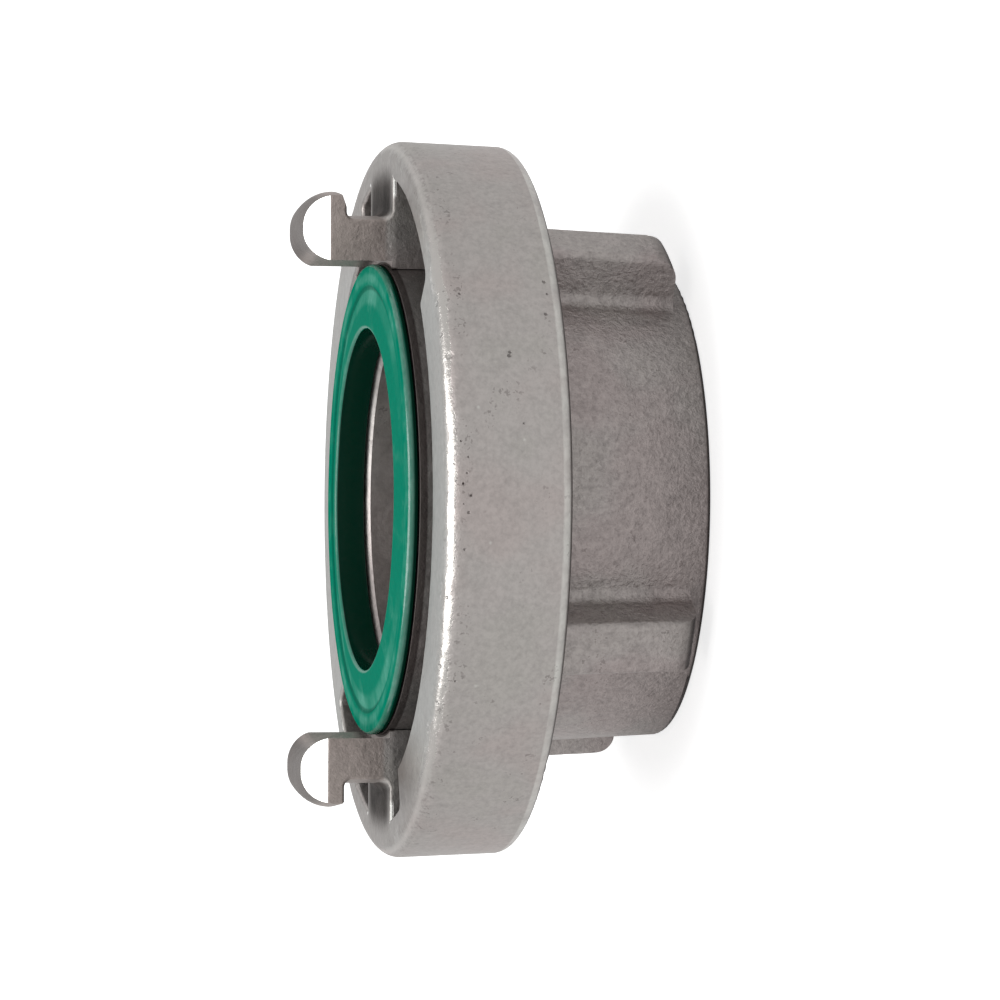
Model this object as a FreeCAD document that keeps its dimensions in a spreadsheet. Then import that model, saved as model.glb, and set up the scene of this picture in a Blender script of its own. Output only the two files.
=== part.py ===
"""Fixed half of a hooked-lug fire hose coupling, lug spacing 66 mm, with a G2 inside thread.

The part stands on its threaded end. +Z runs along the axis towards the two hooked lugs, which
stand on +X and -X. The origin is the centre of the threaded end's rim. Millimetres and degrees.
"""
import FreeCAD
import Part
import Sketcher
import math
import os

SIZES = [
    ("socket_length", 21.75, "threaded end to the rear face of the collar"),
    ("socket_wall", 3.2, "wall outside the thread where the socket meets the collar"),
    ("socket_draft", 2.75, "casting draft of the socket, degrees"),
    ("thread_radius", 29.8, "major radius of the G2 thread"),
    ("thread_depth", 18.5, "threaded end to the gasket seat"),
    ("thread_chamfer", 0.9, "lead-in at the mouth of the thread"),
    ("rim_round", 0.75, "rounding of the outer rim of the threaded end"),
    ("seat_width", 3.0, "flat gasket seat at the bottom of the thread"),
    ("funnel_length", 7.0, "cone from the gasket seat to the waterway"),
    ("waterway_chamfer", 0.9, "chamfer of the bore under the sealing ring"),
    ("collar_length", 16.5, "rear face to front face of the collar"),
    ("collar_wall", 4.25, "wall outside the lug chamber at the collar's front face"),
    ("collar_draft", 1.9, "casting draft of the collar, degrees"),
    ("collar_front_round", 2.25, "rounding of the collar's front outer edge"),
    ("collar_rear_round", 1.5, "rounding of the collar's rear outer edge"),
    ("collar_root_round", 1.2, "fillet between the collar and the socket"),
    ("web_thickness", 4.1, "wall at the rear of the lug chamber"),
    ("lip_thickness", 5.5, "lip that the other half's lugs hook behind"),
    ("lip_reach", 6.0, "how far the lip stands in over the lug chamber"),
    ("lip_lap", 0.1, "how far the lip stands in under the lugs' outer faces"),
    ("lip_round", 0.5, "rounding of the lip's inner edges"),
    ("chamber_round", 1.6, "fillets at the floor of the lug chamber"),
    ("hub_gap", 1.15, "gap between the hub and the lugs' inner faces"),
    ("hub_stand", 0.4, "hub front above the collar's front face"),
    ("hub_round", 0.12, "rounding of the hub's outer front edge"),
    ("window_ledge", 0.6, "rim of the lip that is left outside the windows"),
    ("window_start", -48.6, "end of the entry window, degrees from the lug's middle"),
    ("window_end", 21.5, "end of the relief on the lug's other side, degrees"),
    ("window_round", 0.9, "corner rounding of the windows"),
    ("lug_count", 2.0, "hooked lugs"),
    ("lug_spacing", 66.0, "distance between the lugs' inner faces"),
    ("lug_width", 16.9, "width across the lug's parallel sides"),
    ("lug_edge_round", 0.4, "rounding of the edges down the lug's outer face"),
    ("neck_thickness", 5.3, "inner face to outer face of the lug's neck"),
    ("neck_round", 1.4, "fillet between the neck and the collar's front face"),
    ("hook_reach", 3.2, "how far the hook stands out over the neck"),
    ("hook_gap", 6.1, "collar's front face to the back of the hook"),
    ("hook_land", 1.1, "straight part of the hook's outer face"),
    ("hook_root_round", 1.0, "fillet between the neck and the back of the hook"),
    ("nose_radius", 4.4, "rounding of the lug's nose"),
    ("nose_flat", 0.8, "flat tip of the nose between its two rounds"),
    ("facet_width", 2.5, "slanted end facet of the nose, measured across the lug"),
    ("facet_drop", 3.35, "slanted end facet of the nose, measured along the axis"),
    ("facet_blend", 0.5, "rounding between the end facet and the lug's side"),
    ("lead_width", 2.6, "slope of the hook's back at its leading side, measured outwards"),
    ("lead_rise", 0.95, "slope of the hook's back at its leading side, along the axis"),
    ("heel_width", 1.1, "slope of the hook's back at its other side, measured outwards"),
    ("heel_rise", 1.25, "slope of the hook's back at its other side, along the axis"),
    ("rib_count", 4.0, "ribs on the socket"),
    ("rib_turn", -29.6, "direction of the first rib, degrees from the lug's middle"),
    ("rib_width", 7.6, "width of a rib"),
    ("rib_height", 6.85, "rib's outer face above the socket, at the collar"),
    ("rib_taper", 1.0, "fall of a rib's outer face from the collar to its rear end"),
    ("rib_start", 2.3, "threaded end to the rear end of a rib"),
    ("rib_end_round", 2.8, "rounding of a rib's rear end"),
    ("rib_root_round", 1.8, "fillet between a rib and the socket"),
    ("rib_edge_round", 0.9, "rounding of a rib's outer edges"),
    ("groove_wall", 1.65, "hub's wall outside the ring groove"),
    ("groove_depth", 3.8, "hub front to the floor of the ring groove"),
    ("groove_height", 2.2, "height of the ring groove's undercut"),
    ("mouth_lip", 1.3, "rim of the hub that holds the ring in its groove"),
    ("ring_web", 3.4, "ring's thickness in the mouth of its groove, with its play"),
    ("ledge_drop", 2.2, "hub front to the ledge under the ring's inner edge"),
    ("ledge_width", 2.6, "ledge between the waterway and the ring groove"),
    ("ring_clearance", 0.1, "play of the sealing ring in its groove"),
    ("ring_step", 0.2, "ring's inside behind the wall of the waterway"),
    ("ring_setback", 0.05, "outside of the ring's bead inside the hub's outside"),
    ("ring_gap", 0.5, "hub front to the underside of the bead"),
    ("ring_bead_height", 1.05, "thickness of the bead"),
    ("ring_bead_width", 2.7, "width of the bead"),
    ("ring_lip_rise", 0.45, "ring's inner lip above the bead's top"),
    ("ring_valley_width", 0.5, "width of the valley inside the bead"),
    ("ring_valley_depth", 0.3, "depth of the valley inside the bead"),
    ("ring_round", 0.42, "rounding of the bead and of the inner lip"),
    ("sink", 1.0, "overlap of joined shapes and overrun of cuts"),
]

FRONT = "(sizes.socket_length + sizes.collar_length)"
CHAMBER_FLOOR = "(sizes.socket_length + sizes.web_thickness)"
LIP_BACK = f"({FRONT} - sizes.lip_thickness)"
HUB_FRONT = f"({FRONT} + sizes.hub_stand)"
LUG_INNER = "(sizes.lug_spacing / 2)"
NECK_RADIUS = f"({LUG_INNER} + sizes.neck_thickness)"
HOOK_RADIUS = f"({NECK_RADIUS} + sizes.hook_reach)"
LIP_RADIUS = f"({NECK_RADIUS} - sizes.lip_lap)"
CHAMBER_RADIUS = f"({LIP_RADIUS} + sizes.lip_reach)"
WINDOW_RADIUS = f"({CHAMBER_RADIUS} - sizes.window_ledge)"
COLLAR_RADIUS = f"({CHAMBER_RADIUS} + sizes.collar_wall)"
HUB_RADIUS = f"({LUG_INNER} - sizes.hub_gap)"
GROOVE_RADIUS = f"({HUB_RADIUS} - sizes.groove_wall)"
MOUTH_RADIUS = f"({GROOVE_RADIUS} - sizes.mouth_lip)"
LEDGE_RADIUS = f"({MOUTH_RADIUS} - sizes.ring_web)"
WATERWAY_RADIUS = f"({LEDGE_RADIUS} - sizes.ledge_width)"
SOCKET_RADIUS = "(sizes.thread_radius + sizes.socket_wall)"
RIM_RADIUS = f"({SOCKET_RADIUS} - sizes.socket_length * tan(sizes.socket_draft * 1deg))"
RIB_RADIUS = f"({SOCKET_RADIUS} + sizes.rib_height)"
RIB_END_RADIUS = f"({RIB_RADIUS} - sizes.rib_taper)"
COLLAR_REAR_RADIUS = f"({COLLAR_RADIUS} - sizes.collar_length * tan(sizes.collar_draft * 1deg))"
DRAFT = "(sizes.collar_draft * 1deg)"
REAR_CUT = f"(sizes.collar_rear_round / tan((90deg + {DRAFT}) / 2))"
FRONT_CUT = f"(sizes.collar_front_round / tan((90deg - {DRAFT}) / 2))"
FUNNEL_TOP = "(sizes.thread_depth + sizes.funnel_length)"
SEAT_RADIUS = "(sizes.thread_radius - sizes.seat_width)"
LEDGE = f"({HUB_FRONT} - sizes.ledge_drop)"
GROOVE_FLOOR = f"({HUB_FRONT} - sizes.groove_depth)"
GROOVE_TOP = f"({GROOVE_FLOOR} + sizes.groove_height)"
HOOK_BACK = f"({FRONT} + sizes.hook_gap)"
NOSE_BASE = f"({HOOK_BACK} + sizes.hook_land)"
NOSE_TIP = f"({NOSE_BASE} + sizes.nose_radius)"
NOSE_MIDDLE = f"({HOOK_RADIUS} - sizes.nose_radius)"
NOSE_CREST = f"({NOSE_MIDDLE} - sizes.nose_flat)"
NOSE_INNER_RADIUS = f"({NOSE_CREST} - {LUG_INNER})"
NOSE_INNER = f"({NOSE_TIP} - {NOSE_INNER_RADIUS})"
HALF_LUG = "(sizes.lug_width / 2)"

PLACE_TOLERANCE = 0.02
ANGLE_TOLERANCE = 0.5
NEARLY_PARALLEL = 0.99


def plus(place, amount):
    """Return the expression of a place moved by an amount."""
    return f"({place} + {amount})"


def make_sheet(doc):
    """Write the driving dimensions into the document's spreadsheet."""
    sheet = doc.addObject("Spreadsheet::Sheet", "sizes")
    for row, (alias, number, note) in enumerate(SIZES, start=1):
        sheet.set(f"A{row}", alias)
        sheet.set(f"B{row}", str(number))
        sheet.set(f"C{row}", note)
        sheet.setAlias(f"B{row}", alias)
    doc.recompute()
    return sheet


def value(sheet, expression):
    """Return an expression over the sheet's cells as a plain number."""
    return float(sheet.evalExpression(expression))


def origin_part(body, role):
    """Return one of the body's origin planes or axes."""
    return next(item for item in body.Origin.OriginFeatures if item.Role == role)


def new_sketch(body, name, role, turn=None, lift=None):
    """Add a sketch on an origin plane, turned about the part's axis or lifted off the plane."""
    sketch = body.newObject("Sketcher::SketchObject", name)
    sketch.AttachmentSupport = [(origin_part(body, role), "")]
    sketch.MapMode = "FlatFace"
    upright = FreeCAD.Vector(0, 0, 1) if role == "XY_Plane" else FreeCAD.Vector(0, 1, 0)
    sketch.AttachmentOffset = FreeCAD.Placement(FreeCAD.Vector(0, 0, 0), FreeCAD.Rotation(upright, 0))
    if turn:
        sketch.setExpression(".AttachmentOffset.Rotation.Angle", turn)
    if lift:
        sketch.setExpression(".AttachmentOffset.Base.z", lift)
    return sketch


def arc_between(start, end, radius, side):
    """Return the shorter arc from start to end, its centre on the left (1) or right (-1)."""
    chord = end.sub(start)
    left = FreeCAD.Vector(-chord.y, chord.x, 0).normalize()
    reach = math.sqrt(max(radius ** 2 - (chord.Length / 2) ** 2, 0.0))
    centre = start.add(chord.multiply(0.5)).add(left.multiply(side * reach))
    circle = Part.Circle(centre, FreeCAD.Vector(0, 0, 1), radius)
    first, last = (start, end) if side > 0 else (end, start)
    return Part.ArcOfCircle(circle, circle.parameter(first), circle.parameter(last))


def bind(sketch, constraint, expression):
    """Add a constraint whose value follows an expression."""
    index = sketch.addConstraint(constraint)
    sketch.setExpression(f"Constraints[{index}]", expression)


def place_corner(sketch, edge, end, corner, spot):
    """Hold one corner of an outline at its distances from the sketch's axes."""
    for kind, axis, expression, number in (("DistanceX", -2, corner[0], spot.x),
                                           ("DistanceY", -1, corner[1], spot.y)):
        if expression == "0":
            sketch.addConstraint(Sketcher.Constraint("PointOnObject", edge, end, axis))
        else:
            bind(sketch, Sketcher.Constraint(kind, edge, end, number), expression)


def outline(sheet, sketch, corners, arcs=None):
    """Draw a closed outline through the corners; arcs maps a side to its radius and centre side."""
    arcs = arcs or {}
    spots = [FreeCAD.Vector(value(sheet, x), value(sheet, y), 0) for x, y in corners]
    count = len(corners)
    ends = []
    for side in range(count):
        start, end = spots[side], spots[(side + 1) % count]
        if side in arcs:
            radius, turn = arcs[side]
            edge = sketch.addGeometry(arc_between(start, end, value(sheet, radius), turn), False)
            ends.append((edge, 1, 2) if turn > 0 else (edge, 2, 1))
            bind(sketch, Sketcher.Constraint("Radius", edge, value(sheet, radius)), radius)
        else:
            edge = sketch.addGeometry(Part.LineSegment(start, end), False)
            ends.append((edge, 1, 2))
    for side in range(count):
        edge, first, last = ends[side]
        following, following_first, _ = ends[(side + 1) % count]
        sketch.addConstraint(Sketcher.Constraint("Coincident", edge, last, following, following_first))
        place_corner(sketch, edge, first, corners[side], spots[side])
    return sketch


def turned(body, kind, name, sketch, angle=None):
    """Revolve a sketch about its upright axis, as a Revolution or a Groove."""
    feature = body.newObject(kind, name)
    feature.Profile = sketch
    feature.ReferenceAxis = (sketch, ["V_Axis"])
    feature.Angle = 360
    if angle:
        feature.setExpression("Angle", angle)
    finish(body, feature, sketch)
    return feature


def extruded(body, kind, name, sketch, length, midplane=True):
    """Extrude a sketch, as a Pad or a Pocket, to both sides or to one."""
    feature = body.newObject(kind, name)
    feature.Profile = sketch
    feature.SideType = "Symmetric" if midplane else "One side"
    feature.setExpression("Length", length)
    finish(body, feature, sketch)
    return feature


def finish(body, feature, sketch=None):
    """Recompute after a feature and stop where it or its sketch failed."""
    body.Document.recompute()
    for item in filter(None, (sketch, feature)):
        if "Invalid" in item.State or "Error" in item.State:
            raise RuntimeError(f"{item.Name} failed: {item.State}")


def repeated(body, name, features, count):
    """Repeat features around the part's axis."""
    pattern = body.newObject("PartDesign::PolarPattern", name)
    pattern.Originals = features
    pattern.Axis = (origin_part(body, "Z_Axis"), [""])
    pattern.Angle = 360
    pattern.setExpression("Occurrences", count)
    body.Tip = pattern
    finish(body, pattern)
    return pattern


def dressed(body, kind, name, base, edges, sizes):
    """Add a Fillet or Chamfer over named edges of the base feature."""
    feature = body.newObject(kind, name)
    feature.Base = (base, edges)
    feature.Refine = False
    for prop, expression in sizes.items():
        feature.setExpression(prop, expression)
    finish(body, feature)
    return feature


def same_place(first, second):
    """Tell whether two distances agree."""
    return abs(first - second) < PLACE_TOLERANCE


def edge_spots(edge, shares=(0, 0.5, 1)):
    """Return points along an edge at shares of its length."""
    span = edge.LastParameter - edge.FirstParameter
    return [edge.valueAt(edge.FirstParameter + share * span) for share in shares]


def picked_edges(shape, wanted):
    """Return the names of the edges that the test wants."""
    return [f"Edge{number}" for number, edge in enumerate(shape.Edges, start=1) if wanted(edge)]


def ring_edges(sheet, feature, spots):
    """Return the full or broken circles about the axis at the given radii and heights."""
    targets = [(value(sheet, radius), value(sheet, height)) for radius, height in spots]

    def wanted(edge):
        if not isinstance(edge.Curve, Part.Circle):
            return False
        centre = edge.Curve.Center
        if math.hypot(centre.x, centre.y) > PLACE_TOLERANCE or abs(edge.Curve.Axis.z) < NEARLY_PARALLEL:
            return False
        return any(same_place(edge.Curve.Radius, radius) and same_place(centre.z, height)
                   for radius, height in targets)

    return picked_edges(feature.Shape, wanted)


def make_casting(doc, sheet):
    """Socket, web, collar, lip and hub: everything that is round about the axis."""
    body = doc.addObject("PartDesign::Body", "coupling")
    section = new_sketch(body, "casting_section", "XZ_Plane")
    rear_round_radius = f"({COLLAR_REAR_RADIUS} + {REAR_CUT} * sin({DRAFT}))"
    rear_round_height = f"(sizes.socket_length + {REAR_CUT} * cos({DRAFT}))"
    front_round_radius = f"({COLLAR_RADIUS} - {FRONT_CUT} * sin({DRAFT}))"
    front_round_height = f"({FRONT} - {FRONT_CUT} * cos({DRAFT}))"
    outline(sheet, section, [
        ("sizes.thread_radius", "0"),
        (RIM_RADIUS, "0"),
        (SOCKET_RADIUS, "sizes.socket_length"),
        (f"({COLLAR_REAR_RADIUS} - {REAR_CUT})", "sizes.socket_length"),
        (rear_round_radius, rear_round_height),
        (front_round_radius, front_round_height),
        (f"({COLLAR_RADIUS} - {FRONT_CUT})", FRONT),
        (LIP_RADIUS, FRONT),
        (LIP_RADIUS, LIP_BACK),
        (CHAMBER_RADIUS, LIP_BACK),
        (CHAMBER_RADIUS, CHAMBER_FLOOR),
        (HUB_RADIUS, CHAMBER_FLOOR),
        (HUB_RADIUS, HUB_FRONT),
        (MOUTH_RADIUS, HUB_FRONT),
        (MOUTH_RADIUS, GROOVE_TOP),
        (GROOVE_RADIUS, GROOVE_TOP),
        (GROOVE_RADIUS, GROOVE_FLOOR),
        (LEDGE_RADIUS, GROOVE_FLOOR),
        (LEDGE_RADIUS, LEDGE),
        (WATERWAY_RADIUS, LEDGE),
        (WATERWAY_RADIUS, FUNNEL_TOP),
        (SEAT_RADIUS, "sizes.thread_depth"),
        ("sizes.thread_radius", "sizes.thread_depth"),
    ], {3: ("sizes.collar_rear_round", 1), 5: ("sizes.collar_front_round", 1)})
    turned(body, "PartDesign::Revolution", "casting_turning", section)
    return body


def round_rings(body, sheet, base):
    """Round and chamfer the edges that run round the axis."""
    rounds = [
        ("rim_round", [(RIM_RADIUS, "0")]),
        ("lip_round", [(LIP_RADIUS, FRONT)]),
        ("chamber_round", [(HUB_RADIUS, CHAMBER_FLOOR), (CHAMBER_RADIUS, CHAMBER_FLOOR)]),
        ("hub_round", [(HUB_RADIUS, HUB_FRONT)]),
    ]
    for alias, spots in rounds:
        edges = ring_edges(sheet, base, spots)
        base = dressed(body, "PartDesign::Fillet", f"casting_{alias}", base, edges,
                       {"Radius": f"sizes.{alias}"})
    chamfers = [
        ("thread_chamfer", [("sizes.thread_radius", "0")]),
        ("waterway_chamfer", [(WATERWAY_RADIUS, LEDGE)]),
    ]
    for alias, spots in chamfers:
        edges = ring_edges(sheet, base, spots)
        base = dressed(body, "PartDesign::Chamfer", f"casting_{alias}", base, edges,
                       {"Size": f"sizes.{alias}"})
    return base


def add_windows(body, sheet):
    """Cut the openings beside each lug through the lip."""
    section = new_sketch(body, "window_section", "XZ_Plane", turn="sizes.window_start")
    inside = f"(({HUB_RADIUS} + {LIP_RADIUS}) / 2)"
    above = plus(FRONT, "sizes.sink")
    outline(sheet, section, [
        (inside, LIP_BACK), (WINDOW_RADIUS, LIP_BACK), (WINDOW_RADIUS, above), (inside, above)])
    window = turned(body, "PartDesign::Groove", "window", section,
                    "sizes.window_end - sizes.window_start")
    return repeated(body, "windows", [window], "sizes.lug_count")


def rib_outline(sheet, sketch, socket_radius, outer_radius):
    """Draw a rib across the axis: rounded outer corners, and flares that run into the socket."""
    half = "(sizes.rib_width / 2)"
    inside = "(sizes.rib_width / 2 - sizes.rib_edge_round)"
    flare = f"({half} + sizes.rib_root_round)"
    flare_reach = f"({socket_radius} + sizes.rib_root_round)"
    flare_middle = f"sqrt({flare_reach} ^ 2 - {flare} ^ 2)"
    share = f"({socket_radius} / {flare_reach})"
    foot = f"({socket_radius} - sizes.socket_wall / 2)"
    right = [
        (foot, f"({share} * {flare})"),
        (f"({share} * {flare_middle})", f"({share} * {flare})"),
        (flare_middle, half),
        (f"({outer_radius} - sizes.rib_edge_round)", half),
        (outer_radius, inside),
    ]
    left = [(x, f"(0 - {y})") for x, y in reversed(right)]
    arcs = {1: ("sizes.rib_root_round", 1), 3: ("sizes.rib_edge_round", -1),
            5: ("sizes.rib_edge_round", -1), 7: ("sizes.rib_root_round", 1)}
    return outline(sheet, sketch, right + left, arcs)


def add_ribs(body, sheet):
    """Stand the ribs on the socket and round their rear ends."""
    start_radius = f"({RIM_RADIUS} + sizes.rib_start * tan(sizes.socket_draft * 1deg))"
    ends = [("rear", "sizes.rib_start", start_radius, RIB_END_RADIUS),
            ("front", "sizes.socket_length", SOCKET_RADIUS, RIB_RADIUS)]
    sections = []
    for end, height, inner, outer in ends:
        sketch = new_sketch(body, f"rib_{end}", "XY_Plane", "sizes.rib_turn", height)
        sections.append(rib_outline(sheet, sketch, inner, outer))
    rib = body.newObject("PartDesign::AdditiveLoft", "rib")
    rib.Profile = sections[0]
    rib.Sections = [sections[1]]
    rib.Ruled = True
    finish(body, rib)
    repeated(body, "ribs", [rib], "sizes.rib_count")
    trim = new_sketch(body, "rib_end_section", "XZ_Plane")
    beyond = plus(RIB_RADIUS, "sizes.sink")
    below = plus("sizes.rib_start", "-sizes.sink")
    arc_start = f"({RIB_END_RADIUS} - sizes.rib_end_round)"
    arc_top = "(sizes.rib_start + sizes.rib_end_round)"
    outline(sheet, trim, [
        (arc_start, "sizes.rib_start"), (RIB_END_RADIUS, arc_top), (beyond, arc_top),
        (beyond, below), (arc_start, below)], {0: ("sizes.rib_end_round", 1)})
    return turned(body, "PartDesign::Groove", "rib_ends", trim)


def round_collar_root(body, sheet, base):
    """Fillet the socket and its ribs into the collar's rear face."""
    top = value(sheet, "sizes.socket_length")
    reach = value(sheet, RIB_RADIUS) + PLACE_TOLERANCE

    def wanted(edge):
        return all(same_place(spot.z, top) and math.hypot(spot.x, spot.y) < reach
                   for spot in edge_spots(edge))

    return dressed(body, "PartDesign::Fillet", "collar_root_round", base, picked_edges(base.Shape, wanted),
                   {"Radius": "sizes.collar_root_round"})


def make_lug(doc, sheet, name, turn):
    """One hooked lug with its root block, which reaches down to the chamber's floor."""
    body = doc.addObject("PartDesign::Body", name)
    root_inner = plus(HUB_RADIUS, "-sizes.sink")
    root_outer = plus(CHAMBER_RADIUS, "sizes.sink")
    root_floor = plus(CHAMBER_FLOOR, "-sizes.sink")
    above = plus(NOSE_TIP, "sizes.sink")
    blank = new_sketch(body, f"{name}_side", "XZ_Plane")
    outline(sheet, blank, [
        (root_inner, root_floor), (root_outer, root_floor), (root_outer, above), (root_inner, above)])
    extruded(body, "PartDesign::Pad", f"{name}_blank", blank, "sizes.lug_width")
    trim = new_sketch(body, f"{name}_trim_section", "XZ_Plane")
    outer = plus(root_outer, "2 * sizes.sink")
    inner = plus(root_inner, "-2 * sizes.sink")
    higher = plus(above, "sizes.sink")
    outline(sheet, trim, [
        (NECK_RADIUS, FRONT), (outer, FRONT), (outer, higher), (inner, higher), (inner, FRONT),
        (LUG_INNER, FRONT), (LUG_INNER, NOSE_INNER), (NOSE_CREST, NOSE_TIP), (NOSE_MIDDLE, NOSE_TIP),
        (HOOK_RADIUS, NOSE_BASE), (HOOK_RADIUS, HOOK_BACK), (NECK_RADIUS, HOOK_BACK),
    ], {6: (NOSE_INNER_RADIUS, -1), 8: ("sizes.nose_radius", -1)})
    base = turned(body, "PartDesign::Groove", f"{name}_trim", trim)
    for alias, height in (("neck_round", FRONT), ("hook_root_round", HOOK_BACK)):
        base = dressed(body, "PartDesign::Fillet", f"{name}_{alias}", base,
                       ring_edges(sheet, base, [(NECK_RADIUS, height)]), {"Radius": f"sizes.{alias}"})
    round_lug_edges(body, sheet, name, base)
    cut_hook_back(body, sheet, name)
    cut_facets(body, sheet, name)
    body.Placement = FreeCAD.Placement(
        FreeCAD.Vector(0, 0, 0), FreeCAD.Rotation(FreeCAD.Vector(0, 0, 1), turn))
    finish(body, body.Tip)
    return body


def round_lug_edges(body, sheet, name, base):
    """Round the edges between the lug's sides and its outer face, from the collar to the hook."""
    half, neck = value(sheet, HALF_LUG), value(sheet, NECK_RADIUS)
    low, high = value(sheet, FRONT), value(sheet, HOOK_BACK)

    def wanted(edge):
        middle = edge_spots(edge)[1]
        if not same_place(abs(middle.y), half):
            return False
        on_neck = same_place(math.hypot(middle.x, middle.y), neck) and low < middle.z < high
        return on_neck or (same_place(middle.z, low) and middle.x > neck)

    dressed(body, "PartDesign::Fillet", f"{name}_edge_rounds", base, picked_edges(base.Shape, wanted),
            {"Radius": "sizes.lug_edge_round"})


def cut_hook_back(body, sheet, name):
    """Slope the outer back edge of the hook, more gently at the lug's leading side."""
    beyond = plus(HOOK_RADIUS, "sizes.sink")
    below = plus(HOOK_BACK, "-sizes.sink")
    sections = []
    for label, lift, width, rise in (
            ("heel", "-sizes.lug_width / 2", "sizes.heel_width", "sizes.heel_rise"),
            ("lead", "sizes.lug_width / 2", "sizes.lead_width", "sizes.lead_rise")):
        sketch = new_sketch(body, f"{name}_{label}", "XZ_Plane", lift=lift)
        start = f"({HOOK_RADIUS} - {width})"
        top = f"({HOOK_BACK} + {rise} * ({width} + sizes.sink) / {width})"
        outline(sheet, sketch, [(start, below), (beyond, below), (beyond, top), (start, HOOK_BACK)])
        sections.append(sketch)
    loft = body.newObject("PartDesign::SubtractiveLoft", f"{name}_hook_back")
    loft.Profile = sections[0]
    loft.Sections = [sections[1]]
    loft.Ruled = True
    finish(body, loft)


def cut_facets(body, sheet, name):
    """Slant both ends of the nose and round the slants into the lug's sides."""
    sketch = new_sketch(body, f"{name}_facet_section", "YZ_Plane")
    side_top = f"({NOSE_TIP} - sizes.facet_drop)"
    ridge = f"({HALF_LUG} - sizes.facet_width)"
    slope = "(sizes.facet_drop / sizes.facet_width)"
    beyond = plus(HALF_LUG, "sizes.sink")
    higher = plus(NOSE_TIP, "sizes.sink")
    outline(sheet, sketch, [
        (beyond, f"({side_top} - {slope} * sizes.sink)"), (beyond, higher),
        (ridge, higher), (ridge, NOSE_TIP)])
    cut = extruded(body, "PartDesign::Pocket", f"{name}_facet", sketch, f"2 * ({HOOK_RADIUS} + sizes.sink)")
    mirror = body.newObject("PartDesign::Mirrored", f"{name}_facets")
    mirror.Originals = [cut]
    mirror.MirrorPlane = (origin_part(body, "XZ_Plane"), [""])
    body.Tip = mirror
    finish(body, mirror)
    half, top = value(sheet, HALF_LUG), value(sheet, side_top)

    def wanted(edge):
        middle = edge_spots(edge)[1]
        return same_place(abs(middle.y), half) and same_place(middle.z, top)

    dressed(body, "PartDesign::Fillet", f"{name}_facet_blends", mirror, picked_edges(mirror.Shape, wanted),
            {"Radius": "sizes.facet_blend"})


def join_lugs(body, lugs):
    """Fuse the lugs with the casting."""
    boolean = body.newObject("PartDesign::Boolean", "lugs")
    boolean.Type = "Fuse"
    boolean.setObjects(lugs)
    finish(body, boolean)
    return boolean


def round_windows(body, sheet, base):
    """Round the upright corners of the windows at their far ends."""
    low, high = value(sheet, LIP_BACK), value(sheet, FRONT)
    far_ends = [value(sheet, "sizes.window_start"), value(sheet, "sizes.window_end")]
    radii = [value(sheet, LIP_RADIUS), value(sheet, WINDOW_RADIUS)]
    step = 360 / value(sheet, "sizes.lug_count")

    def wanted(edge):
        middle = edge_spots(edge)[1]
        upright = abs(edge.tangentAt(edge.FirstParameter).z) > NEARLY_PARALLEL
        if not upright or not low < middle.z < high:
            return False
        angle = math.degrees(math.atan2(middle.y, middle.x))
        at_end = any(abs((angle - end + step / 2) % step - step / 2) < ANGLE_TOLERANCE for end in far_ends)
        return at_end and any(same_place(math.hypot(middle.x, middle.y), radius) for radius in radii)

    return dressed(body, "PartDesign::Fillet", "window_rounds", base, picked_edges(base.Shape, wanted),
                   {"Radius": "sizes.window_round"})


def make_ring(doc, sheet):
    """The rubber lip ring: a foot in the hub's groove, a bead over its rim and an inner lip."""
    body = doc.addObject("PartDesign::Body", "ring")
    inside = f"({WATERWAY_RADIUS} + sizes.ring_step)"
    outside = f"({HUB_RADIUS} - sizes.ring_setback)"
    foot_radius = f"({GROOVE_RADIUS} - sizes.ring_clearance)"
    web_radius = f"({MOUTH_RADIUS} - sizes.ring_clearance)"
    foot_inner = f"({LEDGE_RADIUS} + sizes.ring_clearance)"
    foot_top = f"({GROOVE_TOP} - sizes.ring_clearance)"
    bead_floor = f"({HUB_FRONT} + sizes.ring_gap)"
    bead_top = f"({bead_floor} + sizes.ring_bead_height)"
    bead_inner = f"({outside} - sizes.ring_bead_width)"
    valley = f"({bead_top} - sizes.ring_valley_depth)"
    lip_top = f"({bead_top} + sizes.ring_lip_rise)"
    section = new_sketch(body, "ring_section", "XZ_Plane")
    outline(sheet, section, [
        (inside, LEDGE),
        (foot_inner, LEDGE),
        (foot_inner, GROOVE_FLOOR),
        (foot_radius, GROOVE_FLOOR),
        (foot_radius, foot_top),
        (web_radius, foot_top),
        (web_radius, bead_floor),
        (outside, bead_floor),
        (outside, bead_top),
        (bead_inner, bead_top),
        (f"({bead_inner} - sizes.ring_valley_width)", valley),
        (inside, lip_top),
    ])
    base = turned(body, "PartDesign::Revolution", "ring_turning", section)
    edges = ring_edges(sheet, base, [
        (outside, bead_floor), (outside, bead_top), (bead_inner, bead_top), (inside, lip_top)])
    dressed(body, "PartDesign::Fillet", "ring_rounds", base, edges, {"Radius": "sizes.ring_round"})
    return body


def check_and_export(doc, pieces):
    """Stop where an object failed or a piece isn't one valid solid, then write the STEP files."""
    for item in doc.Objects:
        if "Invalid" in item.State or "Error" in item.State:
            raise RuntimeError(f"{item.Name} failed: {item.State}")
    for piece in pieces:
        shape = piece.Shape
        if shape.isNull() or not shape.isValid() or len(shape.Solids) != 1:
            raise RuntimeError(f"{piece.Label} is not one valid solid")
    os.makedirs("parts", exist_ok=True)
    for piece in pieces:
        piece.Shape.exportStep(f"parts/{piece.Label}.step")
        print(f"{piece.Label}: {piece.Shape.Volume:.0f} cubic mm")


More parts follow.
